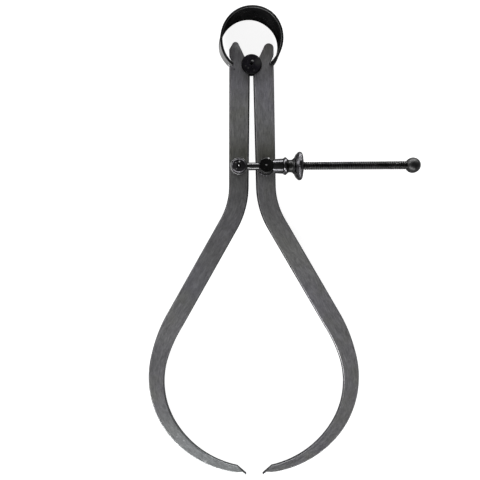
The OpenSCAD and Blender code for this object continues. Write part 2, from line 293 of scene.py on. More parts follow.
def remap(tree, value, low, high, toLow=0.0, toHigh=1.0):
    given = {"From_Min": low, "From_Max": high, "To_Min": toLow, "To_Max": toHigh}
    return node(tree, "ShaderNodeMapRange", Value=value, **given).outputs["Result"]


def mixColour(tree, factor, first, second):
    made = node(tree, "ShaderNodeMix", data_type="RGBA", Factor=factor)
    plug(tree, made.inputs[6], first)
    plug(tree, made.inputs[7], second)
    return made.outputs[2]


def mixValue(tree, factor, first, second):
    return node(tree, "ShaderNodeMix", Factor=factor, A=first, B=second).outputs["Result"]


def splitVector(tree, vector):
    return node(tree, "ShaderNodeSeparateXYZ", Vector=vector).outputs


def noise(tree, vector, scale, detail, roughness):
    made = node(tree, "ShaderNodeTexNoise", Vector=vector, Scale=scale, Detail=detail, Roughness=roughness)
    return made.outputs["Fac"]


# 1 for what the camera sees directly, 0 in reflections.
def seenDirectly(tree):
    return tree.nodes.new("ShaderNodeLightPath").outputs["Is Camera Ray"]


# The upward part of the surface's direction: 1 on a face that looks at the camera.
def upwardPart(tree):
    return splitVector(tree, tree.nodes.new("ShaderNodeNewGeometry").outputs["Normal"])["Z"]


# A colour ramp with a grey or tinted stop for each (place, colour) pair.
def rampColour(tree, value, stops):
    ramp = tree.nodes.new("ShaderNodeValToRGB")
    elements = ramp.color_ramp.elements
    while len(elements) < len(stops):
        elements.new(1.0)
    for element, (place, colour) in zip(elements, stops):
        element.position = place
        element.color = (*colour, 1)
    plug(tree, ramp.inputs[0], value)
    return ramp.outputs[0]


# A group's inputs come with their usual values, None for a vector. Its outputs are plain values.
def newGroup(name, inputs, outputs):
    group = bpy.data.node_groups.new(name, "ShaderNodeTree")
    for label, value in inputs.items():
        kind = "NodeSocketVector" if value is None else "NodeSocketFloat"
        socket = group.interface.new_socket(name=label, in_out="INPUT", socket_type=kind)
        if value is not None:
            socket.default_value = value
    for label in outputs:
        group.interface.new_socket(name=label, in_out="OUTPUT", socket_type="NodeSocketFloat")
    return group, group.nodes.new("NodeGroupInput").outputs, group.nodes.new("NodeGroupOutput").inputs


noiseBand = (0.3, 0.7)  # noise stays mostly within this band
groupPlan = {
    "bendBand": (0.995, 0.86),  # how well the rounded normal agrees with the plain one, flat and at an edge
    "wearNoise": (900.0, 4.0, 0.65),  # scale, detail and roughness
    "wearBand": (0.32, 0.62),
    "patchNoise": (5.0, 0.6),  # detail and roughness, as in the next three
    "speckNoise": (3.0, 0.7),
    "fineGrain": (3.0, 0.6),
    "coarseGrain": (2.0, 0.5),
    "speckBand": (0.6, 0.78),
    "coarseShare": 0.25,  # of the fine grain's scale
}


# Edge wear: 1 where the surface bends sharply within the radius, broken up by noise.
def makeEdgeWear(plan):
    group, given, out = newGroup("edgeWear", {"Vector": None, "Radius": 0.2 * mm, "Amount": 1.0}, ["Mask"])
    bevel = node(group, "ShaderNodeBevel", samples=6, Radius=given["Radius"])
    plain = group.nodes.new("ShaderNodeNewGeometry")
    agreement = vectorNode(group, "DOT_PRODUCT", bevel.outputs[0], plain.outputs["Normal"])
    bend = remap(group, agreement, *plan["bendBand"])
    patch = remap(group, noise(group, given["Vector"], *plan["wearNoise"]), *plan["wearBand"])
    mask = times(group, bend, patch)
    plug(group, out["Mask"], times(group, mask, given["Amount"], clamp=True))
    return group


# Mottle: large soft patches and fine specks, as two masks, and the fine noise itself as a height.
def makeMottle(plan):
    group, given, out = newGroup("mottle", {"Vector": None, "Patch Scale": 150.0, "Speck Scale": 1500.0},
                                 ["Patches", "Specks", "Height"])
    large = noise(group, given["Vector"], given["Patch Scale"], *plan["patchNoise"])
    fine = noise(group, given["Vector"], given["Speck Scale"], *plan["speckNoise"])
    plug(group, out["Patches"], remap(group, large, *noiseBand))
    plug(group, out["Specks"], remap(group, fine, *plan["speckBand"]))
    plug(group, out["Height"], fine)
    return group


# Grain: noise drawn out along the first axis of its vector, as grinding leaves it.
def makeGrain(plan):
    usual = {"Vector": None, "Stretch": 40.0, "Scale": 4000.0}
    group, given, out = newGroup("grain", usual, ["Fine", "Coarse"])
    parts = splitVector(group, given["Vector"])
    drawn = mathNode(group, "DIVIDE", parts["X"], given["Stretch"])
    joined = node(group, "ShaderNodeCombineXYZ", X=drawn, Y=parts["Y"], Z=parts["Z"]).outputs[0]
    coarseScale = times(group, given["Scale"], plan["coarseShare"])
    plug(group, out["Fine"], noise(group, joined, given["Scale"], *plan["fineGrain"]))
    plug(group, out["Coarse"], noise(group, joined, coarseScale, *plan["coarseGrain"]))
    return group


edgeWear, mottle, grain = makeEdgeWear(groupPlan), makeMottle(groupPlan), makeGrain(groupPlan)


def placeGroup(tree, group, vector, **values):
    return node(tree, "ShaderNodeGroup", node_tree=group, Vector=vector, **values).outputs


def newMaterial(name):
    material = bpy.data.materials.new(name)
    material.use_nodes = True
    return material, material.node_tree, material.node_tree.nodes["Principled BSDF"]


# What both steels start from: the mottle's masks, and where edges are worn.
def steelMasks(tree, placed, look):
    radius, amount = look["wear"]
    wear = placeGroup(tree, edgeWear, placed, Radius=radius * mm, Amount=amount)["Mask"]
    scales = {"Patch_Scale": look["patchScale"], "Speck_Scale": look["speckScale"]}
    return placeGroup(tree, mottle, placed, **scales), wear


def finishSteel(tree, shader, look, colour, rough, height):
    strength, depth = look["bump"]
    bump = node(tree, "ShaderNodeBump", Strength=strength, Distance=depth * mm, Height=height)
    setInputs(tree, shader, Base_Color=colour, Metallic=1.0, Roughness=rough, Normal=bump.outputs[0])


# Ground steel of the legs: fine grain, soft tinted patches, small stains and rubbed spots, and painted
# light:
# shade on the edges and around the posts, a highlight line beside the edges and reflection spots.
# A mark is (distance along the leg, distance across it, radius) in millimetres.
groundSteelLook = {
    "base": (0.56, 0.56, 0.562),
    "cool": (0.55, 0.54, 0.575),
    "warm": (0.53, 0.53, 0.5),
    "polished": (0.72, 0.76, 0.77),
    # dark colour of stains, grain and specks, and of the painted shade around the posts
    "stainAndShade": (0.05, 0.05, 0.05),
    "brightAndHighlight": (0.85, 0.86, 0.87),
    # painted shade: the dark colour on the edges, which turn away from the front
    "edge": (0.035, 0.035, 0.037),
    "toneNoise": (30.0, 3.0, 0.5),
    "toneBand": (0.42, 0.6),  # noise from here to there goes from the cool tint to the base
    "warmBand": (0.5, 0.95),
    "patchScale": 70.0,
    "speckScale": 520.0,
    "speckShare": 0.3,
    "wear": (0.3, 0.3),  # radius in millimetres, and amount
    "edgeShadeBand": (0.95, 0.8),  # how far a face turns from the front before it is dark with painted edge shade
    "edgeShadeFade": (100.0, 150.0, 1.0, 0.45),  # from here to there along the leg the painted edge shade gets less dark
    "highlightLineBand": (0.998, 0.975, 0.93, 0.95),  # a painted highlight line starts, is full, is gone and starts to go
    "highlightLineAmount": 0.4,
    "dustNoise": (1400.0, 3.0, 0.7),
    "dustOnLeg": (0.9, 1.1),
    "dustAtTip": (0.72, 1.3),
    "streak": 0.14,
    "streakBand": (0.42, 0.72),
    "grainShade": 0.35,
    "grainStretch": 6.0,
    "grainScale": 2600.0,
    "roughness": (0.36, 0.46),
    "specular": (0.3, 0.3, 0.3),
    "bump": (0.25, 0.01),  # strength, and depth in millimetres
    "rightOffset": 350.0,  # the right leg's flow starts here, so that its patches differ
    "sideSplit": (300.0, 301.0),  # between the flows of the two legs
    "polishedFrom": (168.0, 205.0),
    "polishedShare": 0.75,  # on the left leg alone
    "markRagged": 0.75,
    "markFull": 0.35,  # share of a mark's radius that is at full strength
    "darkShare": 0.75,
    "lightShare": 0.8,
    "toneSpan": (-15.0, 575.0),
    # the low stops between 43 and 52 mm are painted shade around the posts
    "tonesLeft": [
        (-12, 0.66, 0.97), (10, 0.83, 1.03), (30, 0.8, 1.0), (38, 0.72, 0.94), (43, 0.5, 0.9),
        (49, 0.5, 0.95), (57, 0.65, 1.0), (68, 0.74, 1.0), (92, 0.71, 1.0), (115, 0.71, 1.06),
        (135, 0.76, 1.0), (155, 0.56, 1.0), (180, 0.61, 1.02), (195, 0.7, 1.0), (212, 0.62, 1.0),
    ],
    "tonesRight": [
        (-12, 0.86, 0.88), (10, 0.89, 1.04), (30, 0.86, 1.05), (38, 0.78, 0.95), (43, 0.5, 0.86),
        (52, 0.53, 0.94), (58, 1.0, 1.0), (70, 0.89, 0.99), (92, 1.0, 0.98), (115, 0.95, 1.02),
        (135, 0.85, 1.0), (155, 0.82, 1.0), (180, 0.67, 1.0), (195, 0.58, 1.02), (212, 0.48, 1.02),
    ],
    # dark marks: small stains, while the wide marks at 47.5 and 46.5 mm are painted shade around the posts
    "darkMarksLeft": [
        (149.9, 2.2, 0.5), (130.1, -0.6, 0.45), (105.5, -2.5, 0.6), (47.5, 0.0, 4.6), (2.0, 2.6, 1.1),
    ],
    "darkMarksRight": [
        (124.4, -1.7, 0.4), (152.2, 0.9, 0.45), (217.3, -1.7, 0.55), (216.4, -0.8, 0.6),
        (215.0, -0.6, 0.5), (46.5, 0.0, 5.2),
    ],
    # light marks: rubbed spots and lighter patches, with painted reflection spots at 44.6 to 45.6 mm beside
    # the screw's eye
    "lightMarksLeft": [
        (193.3, 0.3, 0.9), (197.0, -0.9, 0.8), (211.6, 1.2, 1.6), (45.3, 0.2, 0.5), (44.6, -1.4, 0.55),
        (45.6, 1.6, 0.45), (-10.0, 0.6, 6.8), (-11.2, 1.8, 2.4),
    ],
    # at 45.2 mm a painted reflection spot beside the post
    "lightMarksRight": [(167.6, 2.2, 0.5), (45.2, 0.9, 0.5)],
}


# How strongly a point lies on one of a list of marks: 1 at a mark's centre, 0 at its ragged rim.
def markMask(tree, flat, height, marks, offset, look):
    total = None
    for along, across, radius in marks:
        reach = radius * mm
        ragged = times(tree, height, reach * look["markRagged"])
        apart = vectorNode(tree, "DISTANCE", flat, ((along + offset) * mm, across * mm, 0))
        mask = remap(tree, mathNode(tree, "ADD", apart, ragged), reach, reach * look["markFull"])
        total = mask if total is None else mathNode(tree, "MAXIMUM", total, mask)
    return total


# How light the steel is along the leg, from (distance, level, share of blue) stops for each leg. The dip to
# about half between 43 and 52 mm is painted shade around the posts.
def toneAndShadeAlong(tree, distance, look):
    low, high = look["toneSpan"]
    tones = [(0.0, tone) for tone in look["tonesLeft"]]
    tones += [(look["rightOffset"], tone) for tone in look["tonesRight"]]
    stops = [((offset + place - low) / (high - low), (level, level, level * blue))
             for offset, (place, level, blue) in tones]
    return rampColour(tree, remap(tree, distance, low * mm, high * mm), stops)


def makeGroundSteel(look):
    material, tree, shader = newMaterial("groundSteel")
    placed = node(tree, "ShaderNodeAttribute", attribute_name="flow").outputs["Vector"]
    parts = splitVector(tree, placed)
    distance = parts["X"]
    flat = node(tree, "ShaderNodeCombineXYZ", X=distance, Y=parts["Y"]).outputs[0]
    split = [value * mm for value in look["sideSplit"]]
    tipSpan = [value * mm for value in look["polishedFrom"]]
    leftOnly = remap(tree, distance, *split, 1.0, 0.0)
    onRight = remap(tree, distance, *split, 0.0, look["rightOffset"] * mm)
    along = mathNode(tree, "SUBTRACT", distance, onRight)
    lines = placeGroup(tree, grain, placed, Stretch=look["grainStretch"], Scale=look["grainScale"])
    spots, wear = steelMasks(tree, placed, look)
    # soft tints, the polished end of the left leg, and how light each stretch is, with painted shade around
    # the posts
    tone = noise(tree, placed, *look["toneNoise"])
    colour = mixColour(tree, remap(tree, tone, *look["toneBand"]), look["cool"], look["base"])
    colour = mixColour(tree, remap(tree, spots["Patches"], *look["warmBand"]), colour, look["warm"])
    polished = remap(tree, distance, *tipSpan, 0.0, look["polishedShare"])
    colour = mixColour(tree, times(tree, polished, leftOnly), colour, look["polished"])
    colour = vectorNode(tree, "MULTIPLY", colour, toneAndShadeAlong(tree, distance, look))
    # dust, streaks and grain
    dust = noise(tree, placed, *look["dustNoise"])
    onLeg, atTip = (remap(tree, dust, *noiseBand, *look[name]) for name in ("dustOnLeg", "dustAtTip"))
    dusted = mixValue(tree, remap(tree, along, *tipSpan), onLeg, atTip)
    colour = vectorNode(tree, "MULTIPLY", colour, dusted)
    streak = remap(tree, lines["Coarse"], *look["streakBand"], 0.0, look["streak"])
    colour = mixColour(tree, streak, colour, look["brightAndHighlight"])
    shade = remap(tree, lines["Fine"], *noiseBand, look["grainShade"], 0.0)
    colour = mixColour(tree, shade, colour, look["stainAndShade"])
    specks = times(tree, spots["Specks"], look["speckShare"])
    colour = mixColour(tree, specks, colour, look["stainAndShade"])
    # stains and rubbed spots, among them painted shade around the posts and painted reflection spots
    for side, offset in (("Left", 0.0), ("Right", look["rightOffset"])):
        for kind, share, paint in (("dark", "darkShare", "stainAndShade"), ("light", "lightShare", "brightAndHighlight")):
            mask = markMask(tree, flat, spots["Height"], look[kind + "Marks" + side], offset, look)
            colour = mixColour(tree, times(tree, mask, look[share]), colour, look[paint])
    # worn corners, the painted highlight line beside the edge, and the painted shade on the edge, both from
    # how far the surface turns from the front
    colour = mixColour(tree, wear, colour, look["brightAndHighlight"])
    facing = mathNode(tree, "ABSOLUTE", upwardPart(tree))
    # painted highlight: a light line on the bevel just inside the edge
    lineStart, lineFull, lineGone, lineGoing = look["highlightLineBand"]
    rise = remap(tree, facing, lineStart, lineFull, 0.0, look["highlightLineAmount"])
    highlightLine = times(tree, rise, remap(tree, facing, lineGone, lineGoing))
    colour = mixColour(tree, highlightLine, colour, look["brightAndHighlight"])
    # painted shade on the edges, lighter further down the leg
    first, last, full, faded = look["edgeShadeFade"]
    fade = remap(tree, along, first * mm, last * mm, full, faded)
    edge = times(tree, remap(tree, facing, *look["edgeShadeBand"]), fade)
    colour = mixColour(tree, edge, colour, look["edge"])
    rough = remap(tree, lines["Fine"], *noiseBand, *look["roughness"])
    setInputs(tree, shader, Specular_Tint=look["specular"])
    finishSteel(tree, shader, look, colour, rough, lines["Fine"])
    return material


# Black oxide: dark mottled steel with rubbed edges, with each use's own tint, gloss, wear and marks; many
# marks on the heads, the post and the screw's eye are painted highlights or painted shade.
# A mark is (place in millimetres from the centre, radius, share of it at full strength, level, roughness).
commonBlack = {
    "brightAndHighlight": 0.5,  # level of rubbed edges and specks, and of the spring's painted sheen
    "wear": (0.1, 0.0),  # radius in millimetres, and amount
    "specks": 0.35,
    "patchScale": 160.0,
    "speckScale": 1700.0,
    "bump": (0.2, 0.03),  # strength, and depth in millimetres
    "rim": None,  # level of the painted shade on the flanks, which turn away from the front
    "flankShadeBand": (0.97, 0.88),
    "sheen": None,  # for a painted sheen attribute, a painted highlight: its spread, roughness and specular
    "marks": [],
    "centre": (0.0, 0.0, 0.0),
}
headTop, pivotTop, eyeTop = 6.8, 12.3, 10.5  # heights of the faces that the marks lie on
blackLooks = {
    "blackOxide": {
        "base": (0.075, 0.075, 0.08), "patch": (0.13, 0.125, 0.135), "roughness": (0.18, 0.3),
        "wear": (0.1, 0.35),
    },
    "nutBlack": {
        "base": (0.06, 0.059, 0.063), "patch": (0.11, 0.108, 0.115), "roughness": (0.16, 0.24),
        "wear": (0.1, 0.3),
        "centre": (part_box("adjusting_nut")[0][0], pivotY, screwHeight),
        "marks": [((3.3, 0.0, 0.0), 4.7, 0.85, 0.035, 0.38)],
    },
    "sleeveBlack": {
        "base": (0.05, 0.05, 0.052), "patch": (0.075, 0.075, 0.08), "roughness": (0.18, 0.26),
        "wear": (0.1, 0.3),
    },
    "pivotBlack": {
        "base": (0.05, 0.05, 0.053), "patch": (0.11, 0.105, 0.115), "roughness": (0.2, 0.35),
        "centre": leftPivot,
        "marks": [
            # painted shade: the centre dimple near black; painted highlights: the bright centre dot and the
            # three bright specks
            ((0.0, 0.0, 12.2), 1.15, 0.8, 0.006, 0.3), ((0.0, 0.0, pivotTop), 0.36, 0.7, 0.9, 0.7),
            ((0.3, 1.85, pivotTop), 0.5, 0.3, 0.8, 0.6), ((-1.5, 1.3, pivotTop), 0.35, 0.3, 0.5, 0.5),
            ((-1.2, -1.6, pivotTop), 0.4, 0.3, 0.4, 0.5),
        ],
    },
    "springBlack": {
        "base": (0.03, 0.03, 0.031), "patch": (0.055, 0.055, 0.056), "roughness": (0.36, 0.48),
        "brightAndHighlight": 0.8, "wear": (0.12, 0.0), "specks": 0.06, "sheen": ((1.1, 0.75), 0.3, (0.2, 0.2, 0.2)),
    },
    "threadBlack": {
        "base": (0.02, 0.02, 0.02), "patch": (0.05, 0.05, 0.05), "roughness": (0.2, 0.4), "brightAndHighlight": 0.6,
        "wear": (0.1, 0.7), "centre": (0.0, pivotY, screwHeight),
        "marks": [((0.0, 0.0, 0.0), 5.0, 0.9, 0.085, 0.2)],
    },
    "headBlack": {
        "base": (0.026, 0.025, 0.029), "patch": (0.055, 0.05, 0.068), "roughness": (0.25, 0.4),
        # painted shade: the head's flanks turn near black
        "rim": (0.006, 0.006, 0.006),
        "marks": [
            # the first mark lightens the right side as painted light, the second paints the centre hole
            # near black as painted shade, the next three are a painted highlight streak above the hole, and
            # the last three are lighter spots
            ((3.2, 0.8, headTop), 2.4, 0.2, 0.09, 0.4), ((0.0, 0.0, 6.3), 0.95, 0.8, 0.004, 0.3),
            ((0.1, 1.5, headTop), 0.4, 0.3, 0.35, 0.58), ((0.5, 1.5, headTop), 0.45, 0.3, 0.45, 0.6),
            ((0.9, 1.3, headTop), 0.4, 0.3, 0.3, 0.55), ((-1.6, -2.0, headTop), 0.6, 0.3, 0.12, 0.45),
            ((-2.9, -1.0, headTop), 0.5, 0.3, 0.1, 0.45), ((1.2, -3.2, headTop), 0.6, 0.3, 0.1, 0.45),
        ],
    },
    "postBlack": {
        "base": (0.02, 0.02, 0.02), "patch": (0.035, 0.035, 0.035), "roughness": (0.22, 0.36),
        "brightAndHighlight": 0.4, "centre": rightPivot,
        # painted highlights: the bright centre dot and the speck near the ring
        "marks": [((0.0, 0.0, pivotTop), 0.4, 0.6, 0.6, 0.6), ((1.25, 3.4, 12.2), 0.45, 0.3, 0.7, 0.6)],
    },
    "ballBlack": {
        "base": (0.035, 0.035, 0.035), "patch": (0.06, 0.06, 0.06), "roughness": (0.36, 0.48),
        "wear": (0.1, 0.1),
    },
    "rubbedEyePaintedLight": {
        "base": (0.14, 0.14, 0.143), "patch": (0.18, 0.18, 0.183), "roughness": (0.2, 0.24), "brightAndHighlight": 0.7,
        "wear": (0.12, 0.0), "bump": (0.02, 0.03), "centre": leftPivot,
        "marks": [
            # painted highlight: the bright left side of the eye; painted shade: its darker top and bottom
            ((-3.9, -0.7, eyeTop), 2.8, 0.4, 0.4, 0.5), ((0.0, 3.9, eyeTop), 2.8, 0.4, 0.05, 0.35),
            ((1.2, -4.0, 9.5), 2.2, 0.4, 0.07, 0.35),
        ],
    },
}


def makeBlackSteel(name, ownLook):
    look = {**commonBlack, **ownLook}
    material, tree, shader = newMaterial(name)
    placed = tree.nodes.new("ShaderNodeTexCoord").outputs["Object"]
    brightAndHighlight = (look["brightAndHighlight"],) * 3
    spots, wear = steelMasks(tree, placed, look)
    colour = mixColour(tree, spots["Patches"], look["base"], look["patch"])
    colour = mixColour(tree, times(tree, spots["Specks"], look["specks"]), colour, brightAndHighlight)
    colour = mixColour(tree, wear, colour, brightAndHighlight)
    # painted shade on the flanks, which turn away from the front
    if look["rim"]:
        colour = mixColour(tree, remap(tree, upwardPart(tree), *look["flankShadeBand"]), colour, look["rim"])
    rough = remap(tree, spots["Patches"], 0.0, 1.0, *look["roughness"])
    # each mark sets colour and roughness within its radius; on the heads, the post and the screw's eye most
    # marks are painted highlights or painted shade
    for place, radius, full, level, dull in look["marks"]:
        centre = tuple(start + part * mm for start, part in zip(look["centre"], place))
        apart = vectorNode(tree, "DISTANCE", placed, centre)
        mask = remap(tree, apart, radius * mm, radius * mm * full)
        colour = mixColour(tree, mask, colour, (level,) * 3)
        rough = mixValue(tree, mask, rough, dull)
    # painted highlight: the spring's sheen, lighter and rougher where the attribute is
    if look["sheen"]:
        spread, rougher, specular = look["sheen"]
        paintedSheen = node(tree, "ShaderNodeAttribute", attribute_name="paintedSheen").outputs["Fac"]
        patches = remap(tree, spots["Patches"], 0.0, 1.0, *spread)
        paintedSheen = times(tree, paintedSheen, patches, clamp=True)
        colour = mixColour(tree, paintedSheen, colour, brightAndHighlight)
        rough = mathNode(tree, "ADD", rough, times(tree, paintedSheen, rougher), clamp=True)
        setInputs(tree, shader, Specular_Tint=specular)
    finishSteel(tree, shader, look, colour, rough, spots["Height"])
    return material


groundSteel = makeGroundSteel(groundSteelLook)
blackSteels = {name: makeBlackSteel(name, look) for name, look in blackLooks.items()}
print("materials made")


def finishPiece(piece, material, body, nodeName):
    piece.data.materials.clear()
    piece.data.materials.append(material)
    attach(piece, body)
    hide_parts(nodeName)


def finishBlack(piece, look, body, nodeName):
    finishPiece(piece, blackSteels[look], body, nodeName)


# Legs. All sizes in millimetres, along the middle line from the fulcrum to the tip.
legShape = {
    "axisX": 5.8,
    "lean": 0.8,
    "topWidth": 10.1,
    "firstStep": 3.3,  # where the plain part starts, below the seat
    "run": [  # length or radius, turn in degrees, width at its end
        (59.0, 0.0, 9.6), (38.5, 29.0, 9.6), (55.2, 0.0, 9.6),
        (72.0, -15.0, 8.1), (42.0, -52.0, 6.0), (48.7, -43.0, 3.1),
    ],
    "lineStep": 2.0,
    "arcStep": 1.0,
    "bevel": 0.5,
    "tipBevel": 0.6,  # share of the bevel left at the tip
    "shankBevel": 0.85,  # on the inner edge, down to the bend
    "shankEnd": (55.0, 80.0),
    "seatBevel": 0.12,
    "hornBevel": 0.3,
    "notchBevels": [0.3, 0.15, 0.1, 0.1, 0.15, 0.25],
    "nibBevels": [0.1, 0.06, 0.06],
    "bevelSteps": 5,
    "bevelFullness": 1.5,  # 1 is a round bevel, 2 a flat one
    "faceRing": 1.25,  # in bevels, from the edge to a ring on the flat face
    "wallRing": 1.15,  # in bevels, from the face to a ring on the side wall
    "horns": {  # in from the outer edge, height, radius and outer slope, by side
        1: (2.4, 8.3, 2.4, 2.0),
        -1: (3.1, 9.9, 1.6, 30.0),
    },
    "hornAngle": 25.0,
    "hornPoints": 28,
    "seatRadius": 3.05,
    "seatPoints": 20,
    "notch": [(10.85, 5.2), (9.45, 2.35), (9.35, 1.4), (10.35, 1.0), (10.85, 0.5)],
    "nibRoot": 3.1,
    "nibReach": 5.0,
    "nibDrop": 1.6,
    "nibThick": 0.45,
    "nibEnd": 0.25,
    "tipThickness": 0.69,  # share of the stock's thickness left at the tip
    "thinFrom": 133.7,  # distance along the leg where it starts to thin
    "holeReach": 10,  # of the cutter, up and down
    "holeRadius": {1: 1.98, -1: 1.9},  # the post turns in the right leg's hole
}


# Unit vectors along and across the leg. A heading of 0 points straight down, and it grows outwards.
def alongLeg(heading):
    return np.stack([np.sin(heading), -np.cos(heading)], -1)


def acrossLeg(heading):
    return np.stack([np.cos(heading), np.sin(heading)], -1)


# Stations of the middle line: straight stretches step along the heading, and arcs turn about a centre that
# lies a radius to one side of it. Each has its point, heading, width and distance from the fulcrum.
def legStations(shape):
    heading = math.radians(shape["lean"])
    point = np.array([shape["axisX"], 0.0]) + shape["firstStep"] * alongLeg(heading)
    width, distance = shape["topWidth"], shape["firstStep"]
    rows = [(point[None], np.array([heading]), np.array([width]), np.array([distance]))]
    for size, turn, endWidth in shape["run"]:
        if turn == 0:
            length = size - (shape["firstStep"] if len(rows) == 1 else 0)
            t = np.linspace(0, 1, max(2, round(length / shape["lineStep"])) + 1)[1:]
            headings = np.full(len(t), heading)
            points = point + t[:, None] * length * alongLeg(heading)
        else:
            turnAngle = math.radians(turn)
            length = size * abs(turnAngle)
            t = np.linspace(0, 1, math.ceil(abs(turn) / shape["arcStep"]) + 1)[1:]
            side = math.copysign(1, turn)
            headings = heading + turnAngle * t
            points = point + side * size * (acrossLeg(heading) - acrossLeg(headings))
        rows.append((points, headings, width + (endWidth - width) * t, distance + length * t))
        point, heading, width, distance = points[-1], headings[-1], endWidth, distance + length
    return [np.concatenate([row[i] for row in rows]) for i in range(4)]


# The flow at a point: distance along the leg and across it, measured at the nearest station, and height.
def legFlow(points, stations):
    centre, heading, _, distance = stations
    offset = points[:, None, :2] - centre[None]
    nearest = np.argmin(np.sum(offset ** 2, 2), 1)
    near = offset[np.arange(len(points)), nearest]
    along = distance[nearest] + np.sum(near * alongLeg(heading[nearest]), 1)
    across = np.sum(near * acrossLeg(heading[nearest]), 1)
    return np.column_stack([along, across, points[:, 2]])


# Each outline point moved inwards: the sum of its two edges' normals over one plus their dot product.
def insetNormals(outline):
    ahead = np.roll(outline, -1, 0) - outline
    ahead /= np.linalg.norm(ahead, axis=1)[:, None]
    normal = np.stack([ahead[:, 1], -ahead[:, 0]], 1)
    before = np.roll(normal, 1, 0)
    return (normal + before) / (1 + np.sum(normal * before, 1))[:, None]


# The nib: a thin lip that leans out from the end of the bow to the point.
def nibPoints(shape, centre, heading, width):
    slope = math.atan((shape["nibDrop"] + width / 2) / shape["nibReach"])
    rows = []
    for name, thick in (("nibRoot", shape["nibThick"]), ("nibReach", shape["nibEnd"]), ("nibReach", 0.0)):
        forward = shape[name] - thick * math.sin(slope)
        back = shape["nibReach"] - shape[name]
        out = shape["nibDrop"] - back * math.tan(slope) + thick * math.cos(slope)
        rows.append(centre + forward * alongLeg(heading) + out * acrossLeg(heading))
    return rows


# The head: the seat's arc, then the horn's round top, then the notch. The horn's inner edge is the line
# that touches its round top and runs down at the horn's angle until it meets the seat.
def headPoints(shape, side, firstX):
    outerX = shape["axisX"] + shape["topWidth"] / 2
    hornIn, hornHeight, hornRadius, hornSlope = shape["horns"][side]
    hornCentre = np.array([outerX - hornIn, hornHeight])
    lean, slope = math.radians(shape["hornAngle"]), math.radians(hornSlope)
    radius = shape["seatRadius"]
    edge = hornCentre + hornRadius * np.array([-math.cos(lean), math.sin(lean)])
    down = -np.array([math.sin(lean), math.cos(lean)])
    reach = -(edge @ down) - math.sqrt((edge @ down) ** 2 - edge @ edge + radius ** 2)
    foot = edge + reach * down
    start = math.asin(firstX / radius) - math.pi / 2
    seat = radius * acrossLeg(np.linspace(start, math.atan2(foot[1], foot[0]), shape["seatPoints"]))
    top = hornCentre + hornRadius * acrossLeg(np.linspace(math.pi - lean, slope, shape["hornPoints"]))
    cheek = np.array([[outerX, top[-1, 1] - (outerX - top[-1, 0]) / math.tan(slope)]])
    return np.vstack([seat, top, cheek, np.array(shape["notch"])])


# A leg is its outline at several heights: the bevel's section goes round both faces, and the flat faces are
# closed by one quad for each step of the middle line.
def legPlate(name, shape, side):
    stations = legStations(shape)
    centre, heading, width, distance = stations
    count = len(centre)
    outer = centre + acrossLeg(heading) * width[:, None] / 2
    inner = centre - acrossLeg(heading) * width[:, None] / 2
    head = headPoints(shape, side, inner[0, 0])
    outline = np.vstack([outer, nibPoints(shape, centre[-1], heading[-1], width[-1]), inner[::-1], head])
    # how wide the bevel is and how thick the stock is at each point
    thin = riseOver(distance, shape["thinFrom"], distance[-1] - shape["thinFrom"])
    bevel = shape["bevel"] * (1 - (1 - shape["tipBevel"]) * thin)
    shankFrom, shankTo = shape["shankEnd"]
    extra = riseOver(distance, shankTo, shankFrom - shankTo) * (shape["shankBevel"] - shape["bevel"])
    seatBevels = np.full(shape["seatPoints"], shape["seatBevel"])
    hornBevels = np.full(shape["hornPoints"], shape["hornBevel"])
    bevels = np.concatenate([bevel, shape["nibBevels"], (bevel + extra)[::-1],
                             seatBevels, hornBevels, shape["notchBevels"]])
    keep = 1 - (1 - shape["tipThickness"]) * thin
    keeps = np.concatenate([keep, np.full(3, shape["tipThickness"]), keep[::-1], np.ones(len(head))])
    half = (legFront - legBack) / mm / 2 * keeps
    # the bevel's section, from the back face round to the front one
    angle = np.linspace(0, math.pi / 2, shape["bevelSteps"])
    inwards = np.concatenate([[shape["faceRing"]], 1 - np.sin(angle) ** shape["bevelFullness"], [0.0]])
    upwards = np.concatenate([[0.0], 1 - np.cos(angle) ** shape["bevelFullness"], [shape["wallRing"]]])
    normals = insetNormals(outline)
    rings = [outline + normals * (bevels * part)[:, None] for part in inwards]
    heights = [-half + bevels * part for part in upwards]
    rings += rings[::-1]
    heights += [-row for row in heights[::-1]]
    levels = [height + legMiddle / mm for height in heights]
    points = np.stack([np.column_stack(row) for row in zip(rings, levels)])
    total = len(outline)
    faces = gridFaces(len(rings), total, False).tolist()
    innerIndex = count + 3 + np.arange(count)[::-1]
    caps = [[i, i + 1, innerIndex[i + 1], innerIndex[i]] for i in range(count - 1)]
    caps.append([count - 1, count, count + 1, count + 2, innerIndex[-1]])
    caps.append([innerIndex[0], *range(2 * count + 3, total), 0])
    lastRing = (len(rings) - 1) * total
    faces += [[int(i) for i in cap[::-1]] for cap in caps]
    faces += [[int(lastRing + i) for i in cap] for cap in caps]
    piece = tidiedMesh(name, points.reshape(-1, 3) * mm, faces)
    cutAway(piece, roundCutter(shape["holeRadius"][side], shape["holeReach"], rightPivot, "z"))
    # the flow is written before the left leg is mirrored
    points = meshPoints(piece)
    flow = legFlow(points / mm, stations) * mm
    flow[:, 0] += groundSteelLook["rightOffset"] * mm * (side > 0)
    attribute = piece.data.attributes.new("flow", "FLOAT_VECTOR", "POINT")
    attribute.data.foreach_set("vector", flow.ravel())
    points[:, 0] *= side
    piece.data.vertices.foreach_set("co", points.ravel())
    tidyMesh(piece)
    return piece


finishPiece(legPlate("legPlateRight", legShape, 1), groundSteel, "right_arm", "right_leg")
finishPiece(legPlate("legPlateLeft", legShape, -1), groundSteel, "left_arm", "left_leg")
print("legs made")


